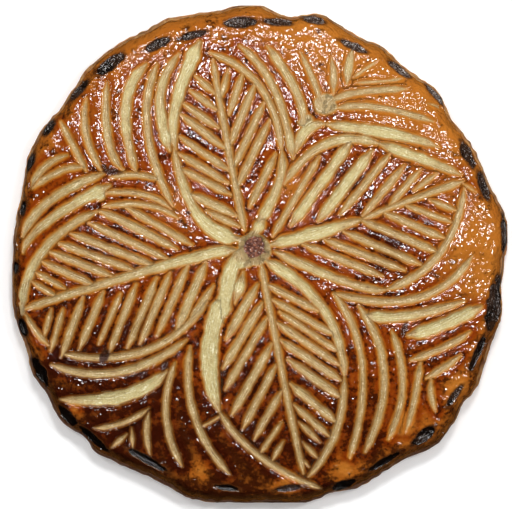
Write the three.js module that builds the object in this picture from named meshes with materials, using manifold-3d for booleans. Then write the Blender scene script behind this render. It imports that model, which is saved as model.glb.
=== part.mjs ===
// Galette des rois: a round puff-pastry cake, domed, with a flaky side and four leaves scored in its top.
// Millimetres, +Z up. The origin is the middle of the flat base, and +Y points to the first leaf's tip.

import * as THREE from "three";
import { mergeVertices } from "three/addons/utils/BufferGeometryUtils.js";
import Module from "manifold-3d";

// ---- driving dimensions ----
const RADIUS = 129.6; // mean radius of the outline
const CROWN = 35; // height of the middle
const SHOULDER = 17.5; // height at which the dome meets the rim
const DOME_POWER = 3.2; // how flat the middle stays before it falls to the rim
const SECTORS = 112; // facets round the rim

// The cake isn't quite round. Each swell is [waves round the outline, size, one peak's direction in degrees].
const SWELLS = [
  [1, 2.7, 229],
  [2, 1.7, 128.5],
  [3, 1.55, 100],
  [4, 0.7, 38],
  [7, 0.7, 12.6],
];

// The pinched edge pushes out in lobes. Each is [direction in degrees, size, half-width in degrees].
const LOBE_BASE = -1.2;
const LOBES = [
  [6, 3.7, 12], [43, 2.9, 9], [60, 1.2, 6], [75, 3.4, 9], [92, 3.1, 8], [110, 1.2, 7],
  [129, 2.9, 13], [153, 3.2, 14], [192, 2.8, 14], [208, 1.6, 8], [220, 2.4, 8], [232, 2.2, 8],
  [256, 3.0, 9], [280, 1.2, 8], [292, 1.8, 8], [314, 2.8, 9], [328, 1.1, 6], [346, 2.1, 8],
];

// Side from the base up: [how far inside the outline, height]. The steps are the edges of the flaky layers.
const SIDE = [[4, 0], [0.7, 1.7], [0, 4.4], [1.7, 5.4], [0.9, 9], [2.6, 10], [2.2, 13.4], [4, 16]];
const LAYER_WAVE = 0.5; // how much the layers rise and fall round the side
const LAYER_SHIFT = 0.6; // how much they creep in and out

// Top, from the rim inwards: [how far inside the outline, share of the sectors that the ring has].
const TOP = [[6.5, 1], [15, 0.5], [33, 0.25], [58, 0.25], [92, 0.25]];

// ---- the scores ----
const VEIN_WIDTH = 3.4;
const WIDE = 4.3; // a score as wide as this has a flat floor, and a narrower one comes to an edge
const FLOOR_SHARE = 0.55; // a flat floor as a share of its score's width at the surface
const LEAST_DEPTH = 0.6;
const MOST_DEPTH = 2.2;
const DEPTH_PER_WIDTH = 0.45;
const CUT_CLEARANCE = 2.5; // how far a cutter stands out of the surface
const FACET_SAG = 0.3; // how far the middles of the dome's facets lie below the true dome
const SECTION_LENGTH = 17; // spacing of a cutter's sections
const TIP_SHARE = 0.4; // a score's width and depth at its very ends

// A knife cut from (x0, y0) to (x1, y1). Its middle swings `bow` to the left of that line and its fullest
// part is moved by `lean` of the line's length towards the end. `widths` are at its start, middle and end.
function score(x0, y0, x1, y1, bow = 0, lean = 0, widths = [VEIN_WIDTH]) {
  const start = new THREE.Vector2(x0, y0);
  const end = new THREE.Vector2(x1, y1);
  const along = end.clone().sub(start);
  const left = new THREE.Vector2(-along.y, along.x).normalize();
  const control = start.clone().add(end).multiplyScalar(0.5);
  control.addScaledVector(left, 2 * bow).addScaledVector(along, lean);
  const [first, middle = first, last = first] = widths;
  return { curve: new THREE.QuadraticBezierCurve(start, control, end), first, middle, last };
}

const vein = ([x0, y0, x1, y1, width = VEIN_WIDTH]) => score(x0, y0, x1, y1, 0, 0, [width]);

// The leaf that points to +Y.
const NORTH_LEAF = [
  score(-24.5, 101, -8, 12.5, -0.5, 0, [2.6, 3.1, 3.6]),
  score(-31.5, 110, -43.5, 54, -5, 0.2, [7.3, 5.7, 3.6]),
  score(-44.5, 55, -11.5, 8, -9.5, 0.2, [3.6, 4.7, 8.8]),
  score(-26, 104.5, 11, 54, 10.5, -0.05, [3.1, 3.1, 3.6]),
  score(11, 54, -1, 16.5, 4, -0.15, [3.6, 4.2, 6.8]),
  ...[
    [-33.5, 92.5, -23.5, 83.5], [-36.5, 85, -22.5, 75], [-39.5, 78, -21.5, 65.5], [-41, 72.5, -17.5, 54.5],
    [-41.5, 61, -16, 43.5], [-42.5, 52.5, -16.5, 37], [-41, 44.5, -15, 31], [-36.5, 31.5, -12, 20, 4.2],
    [-27.5, 22.5, -10.5, 14.5], [-16.5, 95.5, -20.5, 80, 3], [-9, 93.5, -16, 72.5], [-2.5, 89, -15.5, 56.5],
    [2, 78.5, -14, 44.5], [5, 69.5, -12, 34.5], [8, 52, -5.5, 24.5],
  ].map(vein),
];

// The leaf that points to +X.
const EAST_LEAF = [
  score(5, 5, 53, 18.5, -0.5, 0.2, [5.2, 6.8, 3.1]),
  score(53, 18.5, 105, 38, 0.5, -0.05, [2.6, 2.6, 4.7]),
  score(12.5, 36.5, 61.5, 57.5, 10.5, 0.05, [3.6, 4.2, 4.7]),
  score(61.5, 57.5, 104, 41.5, 0.5, 0.2, [4.7, 5.7, 3.6]),
  score(8, 1.5, 65, -18, -3, 0.35, [4.2, 4.2, 3.6]),
  score(65, -18, 106, 34.5, -10.5, -0.05, [3.6, 3.6, 3.1]),
  ...[
    [30.5, 50.5, 6.5, 9.5, 3], [47, 58.5, 16, 15.5, 5], [57.5, 53.5, 30, 17.5, 5.4], [67, 52, 41.5, 21],
    [74.5, 46, 53, 20], [83, 44, 66.5, 25, 3], [91.5, 42, 79.5, 33, 2.6], [22, 5.5, 63, -11],
    [33, 8, 74.5, -8], [43, 12, 83, -5], [52, 18, 91.5, 1.5, 3.6], [63.5, 22, 95.5, 8.5],
    [75.5, 25.5, 100, 16.5, 2.6], [87.5, 28.5, 102.5, 22.5, 2.6],
  ].map(vein),
];

// The leaf that points to -Y.
const SOUTH_LEAF = [
  score(0.5, -4, 22.5, -113.5, -0.5, 0.1, [3.1, 3.1, 3.1]),
  score(-14, -7.5, -21.5, -29, 0, 0, [10.9, 8.8, 6.8]),
  score(-21.5, -29, -21, -81, -5.5, 0.1, [6.8, 9.4, 4.7]),
  score(-21, -81, 32, -121.5, -6, -0.1, [3.1, 3.1, 2.6]),
  score(3, -3, 43.5, -63, 10.5, 0.05, [5.7, 4.7, 3.6]),
  score(43.5, -63, 25, -115, 5.5, 0.05, [3.6, 3.6, 3.1]),
  ...[
    [-1.5, -15.5, -17.5, -43.5, 4.2], [1, -25, -19, -58.5, 3.9], [4, -32, -18, -69.5],
    [6, -46, -14.5, -82.5, 4], [8, -57, -9, -90], [11, -70.5, -3, -95.5],
    [11, -86.5, 0, -103, 2.4], [12, -96.5, 6, -107, 2.6],
    [3, -15, 30, -29], [6, -23, 38.5, -41.5], [10, -29.5, 40.5, -50, 2.8], [8.5, -35, 41, -57],
    [10.5, -44, 42, -65, 3.8], [14.5, -54, 42, -74, 4], [15.5, -66.5, 40, -87, 4], [17.5, -77.5, 36, -94],
    [20, -86.5, 31, -97, 2.6], [22, -97, 30, -105.5, 2.4], [21.5, -105.5, 25.5, -110, 2.2],
  ].map(vein),
];

// The leaf that points to -X.
const WEST_LEAF = [
  score(-122, -28, -13, 2.5, 2, 0.4, [3.6, 4.2, 6.2]),
  score(-124, -29, -84, 22.5, 10, -0.05, [4.7, 4.7, 3.6]),
  score(-84, 22.5, -43, 3, 1, -0.45, [3.1, 4.2, 3.1]),
  score(-121.5, -31, -109.5, -47, -1, 0, [2.6]),
  score(-102, -51.5, -27.5, -24, -13, 0.05, [3.1, 3.6, 2.6]),
  ...[
    [-118.5, -14, -105.5, -21.5, 2.6], [-116.5, -9, -101, -17.5, 2.6], [-113, -3.5, -85, -16],
    [-109, 1.5, -76.5, -11], [-104, 6, -65, -8], [-98, 11, -54.5, -5.5], [-88.5, 16.5, -48, -2],
    [-69, 24.5, -35, 5], [-108, -28, -112, -42.5, 2.6], [-102, -28, -108.5, -50, 2.6],
    [-91.5, -22, -103, -53], [-81, -19, -93.5, -49], [-72, -20, -83.5, -46.5, 2.6],
    [-64, -15.5, -78, -50.5], [-53.5, -12, -68.5, -48], [-46.5, -9.5, -62, -46],
    [-37, -5, -53, -41.5], [-28, -4, -43, -39, 4.4], [-24, -16, -36.5, -34.5],
  ].map(vein),
];

// Arcs that fill the four corners between the leaves: first those beside the upright leaf, then those beside
// the level one.
const NORTH_WEST_ARCS = [
  score(-42, 104, -46.5, 54, -7.5, -0.1, [3.6, 4.7, 5.7]),
  score(-53.5, 98.5, -45, 25, -8.5, -0.1, [3.6]),
  score(-59, 98.5, -64, 42.5, -8.5, -0.2, [5.2, 5.2, 3.1]),
  score(-79.5, 89, -71, 44, -4.5, 0.25, [2.6, 4.2, 3.6]),
  score(-90, 81, -82, 43.5, -4, -0.05, [2.6, 3.6, 3.1]),
  score(-103.5, 69, -90, 43.5, 0, 0, [3.1]),
  score(-100, 51.5, -120.5, 34, -3, -0.1, [3.1]),
  score(-91, 45, -118, 34.5, -3, -0.15, [3.1]),
  score(-81, 42, -123, 9.5, -6, 0.2, [4.2]),
  score(-78, 35.5, -123, 1, -5, 0.35, [6.2, 4.7, 3.1]),
  score(-77, 40, -52, 38.5, 2, 0, [2.6]),
  score(-80.5, 32, -46, 23.5, 4, 0.15, [2.6]),
  score(-80.5, 25, -42.5, 19, 4, 0.1, [2.6]),
];

const NORTH_EAST_ARCS = [
  score(-10.5, 108, 17, 50, 6.5, -0.15, [3.6, 3.6, 4.2]),
  score(4, 108, 22.5, 67.5, 3.5, 0.2, [4.2]),
  score(21, 105, 32, 78, 0.5, 0, [3.1]),
  score(37, 102.5, 38, 83, 0.5, 0, [3.6]),
  score(48, 106.5, 45, 88.5, -0.5, 0, [4.7]),
  score(61.5, 101, 48, 91.5, 0, 0, [1.8]),
  score(74, 91.5, 49.5, 89, 0.5, -0.2, [1.8]),
  score(76.5, 86, 35.5, 78, -3, 0.3, [3.6]),
  score(39, 75.5, 90, 69, 3.5, -0.2, [3.6]),
  score(18.5, 53, 34, 67.5, 4.5, 0.1, [4.2, 5.2, 4.2]),
  score(34, 67.5, 92.5, 55.5, 2, 0.3, [4.2, 6.2, 3.6]),
];

const SOUTH_EAST_ARCS = [
  score(38, -20, 46.5, -105, 11, -0.1, [3.1]),
  score(51, -26.5, 54.5, -102, 11.5, -0.05, [3.6]),
  score(68, -39.5, 66.5, -95.5, 6.5, 0, [3.1]),
  score(83, -56, 75.5, -91.5, 1, 0.2, [3.1]),
  score(88.5, -64.5, 91, -81, -1, 0, [2.6]),
  score(39, -20, 110, -0.5, -13.5, 0.1, [3.6]),
  score(54, -31, 105.5, -24, -3.5, -0.15, [5.7, 4.7, 3.1]),
  score(76.5, -41.5, 114.5, -27, -1.5, -0.15, [6.2]),
  score(78, -54.5, 108.5, -40, -1.5, 0.2, [3.1]),
  score(86, -64, 104, -52, -0.5, 0.1, [3.1]),
];

const SOUTH_WEST_ARCS = [
  score(-36, -47.5, -16, -113.5, -8.5, 0, [3.1, 3.6, 3.6]),
  score(-44, -56, -40.5, -109.5, -6.5, 0, [3.1, 3.6, 3.1]),
  score(-57.5, -81.5, -57, -103.5, -1.5, 0, [3.1]),
  score(-66.5, -90, -66, -100.5, 0, 0, [2.6]),
  score(-108, -57, -38, -44, -10, -0.05, [3.6, 4.2, 3.1]),
  score(-104, -75, -48.5, -60.5, -6.5, 0.15, [3.6, 7.3, 5.7]),
  score(-86, -90, -57.5, -79.5, -2.5, 0, [2.6]),
  score(-77, -100, -69, -93, 0, 0, [3.1]),
];

const SCORES = [
  ...NORTH_LEAF, ...EAST_LEAF, ...SOUTH_LEAF, ...WEST_LEAF,
  ...NORTH_WEST_ARCS, ...NORTH_EAST_ARCS, ...SOUTH_EAST_ARCS, ...SOUTH_WEST_ARCS,
];

// ---- marks round the rim ----
// The rim is pressed down in pockets: [direction in degrees, how far inside the outline, length, width].
const POCKET_DEPTH = 2.6;
const POCKETS = [
  [1, 3.5, 14, 2.6], [16, 4.9, 13, 3.6], [26, 4.9, 15, 5.2], [42, 2.6, 14, 3], [53, 3.4, 13, 3.4],
  [66, 6.5, 15, 3.8], [77, 4.2, 13, 3.8], [86, 5.6, 15, 4.2], [95, 9.8, 16, 5.7], [107, 11.5, 16, 3.8],
  [116, 10.3, 15, 4.7], [128, 7.1, 19, 6.2], [138, 3.6, 14, 3.6], [149, 3.2, 9, 4], [158, 2.8, 11, 3.4],
  [169, 3.2, 8, 2.8], [183, 3, 7, 2.8], [197, 3, 10, 4.2], [208, 4.8, 17, 5.7], [220, 4.8, 14, 5.2],
  [228, 4.2, 19, 3.8], [241, 8.7, 22, 3.8], [262, 8.8, 12, 3.4], [277, 9.1, 15, 3.4], [290, 4, 13, 4.2],
  [301, 5.7, 18, 3.4], [312, 8.4, 15, 6.2], [324, 6.9, 13, 3.4], [336, 6.1, 20, 3.8], [348, 5.2, 30, 8],
];

// The steam hole in the middle: a shallow bowl with lumps of crust left in it.
const STEAM_HOLE = { x: -3.1, y: 3.6, radius: 6.2, depth: 2.4 };
const LUMPS = 5;
const LUMP_RADIUS = 2.1;

const radians = THREE.MathUtils.degToRad;
const lerp = THREE.MathUtils.lerp;

// ---- the surface ----
// Distance from the middle to the outline in a direction given in degrees.
function outline(direction) {
  let reach = RADIUS + LOBE_BASE;
  for (const [waves, size, peak] of SWELLS) reach += size * Math.cos(waves * radians(direction - peak));
  for (const [peak, size, halfWidth] of LOBES) {
    const away = Math.abs(((direction - peak + 540) % 360) - 180) / halfWidth;
    if (away < 1) reach += size * (0.5 + 0.5 * Math.cos(Math.PI * away));
  }
  return reach;
}

// Height of the unscored dome above a point.
function domeHeight(x, y) {
  const share = Math.hypot(x, y) / outline(THREE.MathUtils.radToDeg(Math.atan2(y, x)) + 360);
  return SHOULDER + (CROWN - SHOULDER) * (1 - Math.min(share, 1) ** DOME_POWER);
}

// ---- the body: rings from the base up the side and over the dome ----
function bodyGeometry() {
  const positions = [];
  const faces = [];
  const addPoint = (x, y, z) => positions.push(x, y, z) / 3 - 1;

  const sideRing = ([inset, height], level) => {
    const ring = [];
    for (let i = 0; i < SECTORS; i += 1) {
      const direction = (360 * i) / SECTORS;
      const swing = Math.sin(radians(5 * direction) + 2.1 * level);
      const ripple = Math.sin(radians(13 * direction) + 3.7 * level);
      const wave = (swing + ripple) / 2;
      const loose = level === 0 ? 0 : 1; // the base itself stays flat
      const reach = outline(direction) - inset - loose * LAYER_SHIFT * (0.5 + 0.5 * wave);
      const z = height + loose * LAYER_WAVE * wave;
      ring.push(addPoint(reach * Math.cos(radians(direction)), reach * Math.sin(radians(direction)), z));
    }
    return ring;
  };

  const topRing = ([inset, share]) => {
    const ring = [];
    const count = SECTORS * share;
    for (let i = 0; i < count; i += 1) {
      const direction = (360 * i) / count;
      const reach = outline(direction) - inset;
      const x = reach * Math.cos(radians(direction));
      const y = reach * Math.sin(radians(direction));
      ring.push(addPoint(x, y, domeHeight(x, y)));
    }
    return ring;
  };

  // Joins a ring to the next one, which has as many points or half as many.
  const joinRings = (outer, inner) => {
    const step = outer.length / inner.length;
    for (let i = 0; i < inner.length; i += 1) {
      const near = outer[i * step];
      const far = outer[(i * step + step) % outer.length];
      const here = inner[i];
      const next = inner[(i + 1) % inner.length];
      if (step === 2) {
        const middle = outer[i * step + 1];
        faces.push(near, middle, here, middle, next, here, middle, far, next);
      } else {
        faces.push(near, far, here, far, next, here);
      }
    }
  };

  const rings = [...SIDE.map(sideRing), ...TOP.map(topRing)];
  for (let i = 1; i < rings.length; i += 1) joinRings(rings[i - 1], rings[i]);

  const baseMiddle = addPoint(0, 0, 0);
  const crown = addPoint(0, 0, CROWN);
  const base = rings[0];
  const summit = rings[rings.length - 1];
  base.forEach((point, i) => faces.push(baseMiddle, base[(i + 1) % base.length], point));
  summit.forEach((point, i) => faces.push(crown, point, summit[(i + 1) % summit.length]));

  const geometry = new THREE.BufferGeometry();
  geometry.setAttribute("position", new THREE.Float32BufferAttribute(positions, 3));
  geometry.setIndex(faces);
  return geometry;
}

// ---- cutters ----
// A tapered trough along a score: its floor lies below the dome and its top stands clear of it.
function scoreGeometry({ curve, first, middle, last }) {
  const sections = Math.max(3, Math.round(curve.getLength() / SECTION_LENGTH));
  const floorShare = Math.max(first, middle, last) >= WIDE ? FLOOR_SHARE : 0;
  const positions = [];
  for (let i = 0; i <= sections; i += 1) {
    const along = i / sections;
    const tip = i === 0 || i === sections ? TIP_SHARE : 1;
    const width = along < 0.5 ? lerp(first, middle, 2 * along) : lerp(middle, last, 2 * along - 1);
    const half = 0.5 * width * tip;
    const depth = tip * Math.min(MOST_DEPTH, LEAST_DEPTH + DEPTH_PER_WIDTH * width);
    const slope = (half * (1 - floorShare)) / depth;
    const topHalf = half + slope * CUT_CLEARANCE;
    const floorHalf = half * floorShare;
    const place = curve.getPointAt(along);
    const ahead = curve.getTangentAt(along);
    const surface = domeHeight(place.x, place.y) - FACET_SAG;
    const corner = (side, z) => positions.push(place.x - ahead.y * side, place.y + ahead.x * side, z);
    corner(topHalf, surface + CUT_CLEARANCE);
    corner(-topHalf, surface + CUT_CLEARANCE);
    corner(-floorHalf, surface - depth);
    if (floorShare) corner(floorHalf, surface - depth);
  }
  return prismGeometry(positions, floorShare ? 4 : 3);
}

// A closed prism through sections that have the same number of corners, listed one section after another.
function prismGeometry(positions, corners) {
  const faces = [];
  const end = positions.length / 3 - corners;
  for (let start = 0; start < end; start += corners) {
    for (let corner = 0; corner < corners; corner += 1) {
      const near = start + corner;
      const other = start + ((corner + 1) % corners);
      faces.push(near, other, near + corners, other, other + corners, near + corners);
    }
  }
  for (let corner = 2; corner < corners; corner += 1) {
    faces.push(0, corner, corner - 1, end, end + corner - 1, end + corner);
  }
  const geometry = new THREE.BufferGeometry();
  geometry.setAttribute("position", new THREE.Float32BufferAttribute(positions, 3));
  geometry.setIndex(faces);
  return geometry;
}

// An egg-shaped dent that follows the rim.
function pocketGeometry([direction, inset, length, width]) {
  const reach = outline(direction) - inset;
  const x = reach * Math.cos(radians(direction));
  const y = reach * Math.sin(radians(direction));
  return new THREE.SphereGeometry(1, 6, 4)
    .scale(width / 2 + 1, length / 2, POCKET_DEPTH)
    .rotateZ(radians(direction))
    .translate(x, y, domeHeight(x, y) + 0.4);
}

// ---- booleans ----
const wasm = await Module();
wasm.setup();

function solidOf(geometry) {
  const bare = geometry.clone();
  bare.deleteAttribute("normal");
  bare.deleteAttribute("uv");
  const merged = mergeVertices(bare, 1e-4);
  return new wasm.Manifold(new wasm.Mesh({
    numProp: 3,
    vertProperties: merged.attributes.position.array,
    triVerts: new Uint32Array(merged.index.array),
  }));
}

function geometryOf(solid) {
  const mesh = solid.getMesh();
  const geometry = new THREE.BufferGeometry();
  geometry.setAttribute("position", new THREE.Float32BufferAttribute(mesh.vertProperties, 3));
  geometry.setIndex([...mesh.triVerts]);
  const faceted = geometry.toNonIndexed();
  faceted.computeVertexNormals();
  return faceted;
}

function cakeGeometry() {
  let cake = solidOf(bodyGeometry());
  for (const pocket of POCKETS) cake = cake.subtract(solidOf(pocketGeometry(pocket)));
  for (const cut of SCORES) cake = cake.subtract(solidOf(scoreGeometry(cut)));
  const { x, y, radius, depth } = STEAM_HOLE;
  const bowl = new THREE.SphereGeometry(1, 10, 6).rotateX(Math.PI / 2).scale(radius, radius, depth);
  bowl.translate(x, y, domeHeight(x, y));
  cake = cake.subtract(solidOf(bowl));
  for (let i = 0; i < LUMPS; i += 1) {
    const turn = (2 * Math.PI * i) / LUMPS;
    const lump = new THREE.IcosahedronGeometry(LUMP_RADIUS, 0).rotateZ(turn);
    const reach = radius / 2;
    lump.translate(x + reach * Math.cos(turn), y + reach * Math.sin(turn), domeHeight(x, y) - depth);
    cake = cake.add(solidOf(lump));
  }
  return geometryOf(cake);
}

const crust = new THREE.MeshStandardMaterial({ color: 0xa85a22, roughness: 0.35, metalness: 0 });
const galette = new THREE.Mesh(cakeGeometry(), crust);
galette.name = "galette";

const part = new THREE.Group();
part.add(galette);

export default part;
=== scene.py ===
"""A galette des rois: one round puff-pastry cake, domed and glazed, with a flaky side and four scored leaves.

Lengths are millimetres until the mesh is finished, +Z is up, and the origin is the middle of the flat base.
"""

import math

import bpy
import numpy as np
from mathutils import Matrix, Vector


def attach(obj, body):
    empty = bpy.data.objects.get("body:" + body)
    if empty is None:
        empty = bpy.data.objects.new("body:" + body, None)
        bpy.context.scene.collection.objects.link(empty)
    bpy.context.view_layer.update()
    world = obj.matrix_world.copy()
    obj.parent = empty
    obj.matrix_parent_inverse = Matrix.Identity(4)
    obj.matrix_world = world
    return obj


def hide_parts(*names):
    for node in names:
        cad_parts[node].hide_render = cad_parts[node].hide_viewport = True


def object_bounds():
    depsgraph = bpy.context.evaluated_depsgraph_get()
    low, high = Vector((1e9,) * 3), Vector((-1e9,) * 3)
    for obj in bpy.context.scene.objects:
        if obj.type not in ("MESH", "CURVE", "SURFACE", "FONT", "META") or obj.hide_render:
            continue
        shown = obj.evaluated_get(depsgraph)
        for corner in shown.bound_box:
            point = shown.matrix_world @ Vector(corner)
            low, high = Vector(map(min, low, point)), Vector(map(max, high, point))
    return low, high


MM = 0.001  # one millimetre in Blender's metres

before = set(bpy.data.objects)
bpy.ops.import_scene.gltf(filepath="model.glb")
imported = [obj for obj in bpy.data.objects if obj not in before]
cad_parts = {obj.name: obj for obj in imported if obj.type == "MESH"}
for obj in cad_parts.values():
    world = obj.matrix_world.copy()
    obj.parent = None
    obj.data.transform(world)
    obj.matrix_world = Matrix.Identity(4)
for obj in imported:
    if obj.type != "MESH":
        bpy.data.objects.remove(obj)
cad_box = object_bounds()

# ---- driving dimensions, as in the solid apart from the radius, which is 129.6 there ----
RADIUS = 129.9  # mean radius of the outline
CROWN = 35  # height of the middle
SHOULDER = 17.5  # height at which the dome would meet the rim
DOME_POWER = 3.2  # how flat the middle stays before it falls to the rim

# The cake isn't quite round. Each swell is [waves round the outline, size, one peak's direction in degrees].
SWELLS = [
    [1, 2.7, 229],
    [2, 1.7, 128.5],
    [3, 1.55, 100],
    [4, 0.7, 38],
    [7, 0.7, 12.6],
]

# The pinched edge pushes out in lobes. Each is [direction in degrees, size, half-width in degrees].
LOBE_BASE = -1.2
LOBES = [
    [6, 3.7, 12], [43, 2.9, 9], [60, 1.2, 6], [75, 3.4, 9], [92, 3.1, 8], [110, 1.2, 7],
    [129, 2.9, 13], [153, 3.2, 14], [192, 2.8, 14], [208, 1.6, 8], [220, 2.4, 8], [232, 2.2, 8],
    [256, 3.0, 9], [280, 1.2, 8], [292, 1.8, 8], [314, 2.8, 9], [328, 1.1, 6], [346, 2.1, 8],
]

# A fine frill runs round the outline.
# The turn is given this length. Lumps of 2.5, 5 and 10 meet where it ends, at +X, and those of other sizes
# leave a small step there.
FRILL_TURN = 640
COARSE_FRILL = 0.7
FINE_FRILL = 0.3

# ---- the flaky side ----
RIM_INSET = 2.6  # the side ends and the top begins this far inside the outline
RIM_HEIGHT = 14.2
RIM_FALL = 4.2  # how far the rim drops below the dome there
RIM_ROUNDING = 7.5  # the drop starts this far inside the outline
LAYERS = 8  # leaves of pastry that show round the side
BELLY_HEIGHT = 4.6  # height at which the side stands out furthest
BASE_INSET = 4.0  # the base is this much smaller than the outline, all round
RIM_TUCK = 2.4  # how far the side has drawn in from the belly at the rim
BASE_TUCK = 3.0  # and just above the base
CREASE = 1.3  # how far the dough draws back between two leaves

# ---- the relief of the top ----
VEIN_WIDTH = 3.4
LEAST_DEPTH = 1.1  # a score's depth is this and a share of its width, up to the most
MOST_DEPTH = 2.8
DEPTH_PER_WIDTH = 0.5
TIP_SHARE = 0.3  # a score's width at its very ends, as a share of its full width
TIP_LENGTH = 7  # the longest stretch over which a score narrows to its end
OPENING = 0.05  # how far each side of a cut has drawn back as the crust puffed
RIDGE_SHOULDER = 1.05  # height that a ridge has lost where its score begins
RIDGE_ROUNDING = 1.1  # distance over which that loss fades
STATION = 2.5  # spacing of the points at which a score's curve is measured
MARGIN = 9  # how far outside a score its edge is still felt
FAR = 12  # distance given to places with no score near
SCORE_APART = 150  # keeps the `along` of one score clear of the next one's
CLEARING_DEPTH = 1.2
MOAT_DEPTH = 1.6

# ---- the mesh ----
GRID_CELLS = 380  # cells across the top before the mesh is thinned
MOST_TRIANGLES = 196_000


# ---- the scores ----
def score(x0, y0, x1, y1, bow=0, lean=0, widths=(VEIN_WIDTH,)):
    """A knife cut: the three points of its curve, and its widths at the start, the middle and the end.

    It runs from (x0, y0) to (x1, y1). Its middle swings `bow` to the left of the straight line, and its
    fullest part is moved by `lean` of the
    line's length towards the end.
    """
    start = np.array([x0, y0], float)
    end = np.array([x1, y1], float)
    along = end - start
    left = np.array([-along[1], along[0]]) / np.hypot(*along)
    control = (start + end) / 2 + left * 2 * bow + along * lean
    first = widths[0]
    middle = widths[1] if len(widths) > 1 else first
    last = widths[2] if len(widths) > 2 else middle
    return start, control, end, (first, middle, last)


def veins(*rows):
    """Straight scores, each [x0, y0, x1, y1] and a width if it isn't the usual one."""
    return [score(*row[:4], widths=(row[4] if len(row) > 4 else VEIN_WIDTH,)) for row in rows]


# The leaf that points to +Y.
NORTH_LEAF = [
    score(-24.5, 101, -8, 12.5, -0.5, 0, (2.6, 3.1, 3.6)),
    score(-31.5, 110, -43.5, 54, -5, 0.2, (7.3, 5.7, 3.6)),
    score(-44.5, 55, -11.5, 8, -9.5, 0.2, (3.6, 4.7, 8.8)),
    score(-26, 104.5, 11, 54, 10.5, -0.05, (3.1, 3.1, 3.6)),
    score(11, 54, -1, 16.5, 4, -0.15, (3.6, 4.2, 6.8)),
    score(-4, 8, 2.5, 20.5, 0, 0, (4, 6, 5)),
    *veins(
        [-33.5, 92.5, -23.5, 83.5], [-36.5, 85, -22.5, 75], [-39.5, 78, -21.5, 65.5],
        [-41, 72.5, -17.5, 54.5], [-41.5, 61, -16, 43.5], [-42.5, 52.5, -16.5, 37], [-41, 44.5, -15, 31],
        [-36.5, 31.5, -12, 20, 4.2], [-27.5, 22.5, -10.5, 14.5], [-16.5, 95.5, -20.5, 80, 3],
        [-9, 93.5, -16, 72.5], [-2.5, 89, -15.5, 56.5], [2, 78.5, -14, 44.5], [5, 69.5, -12, 34.5],
        [8, 52, -5.5, 24.5],
    ),
]

# The leaf that points to +X.
EAST_LEAF = [
    score(5, 5, 53, 18.5, -0.5, 0.2, (5.2, 6.8, 3.1)),
    score(53, 18.5, 105, 38, 0.5, -0.05, (2.6, 2.6, 4.7)),
    score(12.5, 36.5, 61.5, 57.5, 10.5, 0.05, (3.6, 4.2, 4.7)),
    score(61.5, 57.5, 104, 41.5, 0.5, 0.2, (4.7, 5.7, 3.6)),
    score(8, 1.5, 65, -18, -3, 0.35, (4.2, 4.2, 3.6)),
    score(65, -18, 106, 34.5, -10.5, -0.05, (3.6, 3.6, 3.1)),
    score(105, 37, 112, 32.5, 0, 0, (1.3,)),
    *veins(
        [30.5, 50.5, 6.5, 9.5, 3], [47, 58.5, 16, 15.5, 5], [57.5, 53.5, 30, 17.5, 5.4], [67, 52, 41.5, 21],
        [74.5, 46, 53, 20], [83, 44, 66.5, 25, 3], [91.5, 42, 79.5, 33, 2.6], [22, 5.5, 63, -11],
        [33, 8, 74.5, -8], [43, 12, 83, -5], [52, 18, 91.5, 1.5, 3.6], [63.5, 22, 95.5, 8.5],
        [75.5, 25.5, 100, 16.5, 2.6], [87.5, 28.5, 102.5, 22.5, 2.6],
    ),
]

# The leaf that points to -Y.
SOUTH_LEAF = [
    score(0.5, -4, 22.5, -113.5, -0.5, 0.1, (3.1, 3.1, 3.1)),
    score(-12, 1, -20, -34, -1, 0, (6.5, 7.6, 8)),
    score(-8.5, -9, -13, -25, 0, 0, (4, 5.6, 3)),
    score(-20, -22, -21, -81, -5.5, 0.1, (8, 9.4, 4.7)),
    score(-19.8, -82.7, -30.7, -88.9, 0.5, 0, (1.2,)),
    score(-21, -81, 32, -121.5, -6, -0.1, (3.1, 3.1, 2.6)),
    score(3, -3, 43.5, -63, 10.5, 0.05, (5.7, 4.7, 3.6)),
    score(43.5, -63, 25, -115, 5.5, 0.05, (3.6, 3.6, 3.1)),
    *veins(
        [-1.5, -15.5, -17.5, -43.5, 4.2], [1, -25, -19, -58.5, 3.9], [4, -32, -18, -69.5],
        [6, -46, -14.5, -82.5, 4], [8, -57, -9, -90], [11, -70.5, -3, -95.5],
        [11, -86.5, 0, -103, 2.4], [12, -96.5, 6, -107, 2.6],
        [3, -15, 30, -29], [6, -23, 38.5, -41.5], [10, -29.5, 40.5, -50, 2.8], [8.5, -35, 41, -57],
        [10.5, -44, 42, -65, 3.8], [14.5, -54, 42, -74, 4], [15.5, -66.5, 40, -87, 4], [17.5, -77.5, 36, -94],
        [20, -86.5, 31, -97, 2.6], [22, -97, 30, -105.5, 2.4], [21.5, -105.5, 25.5, -110, 2.2],
    ),
]

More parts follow.
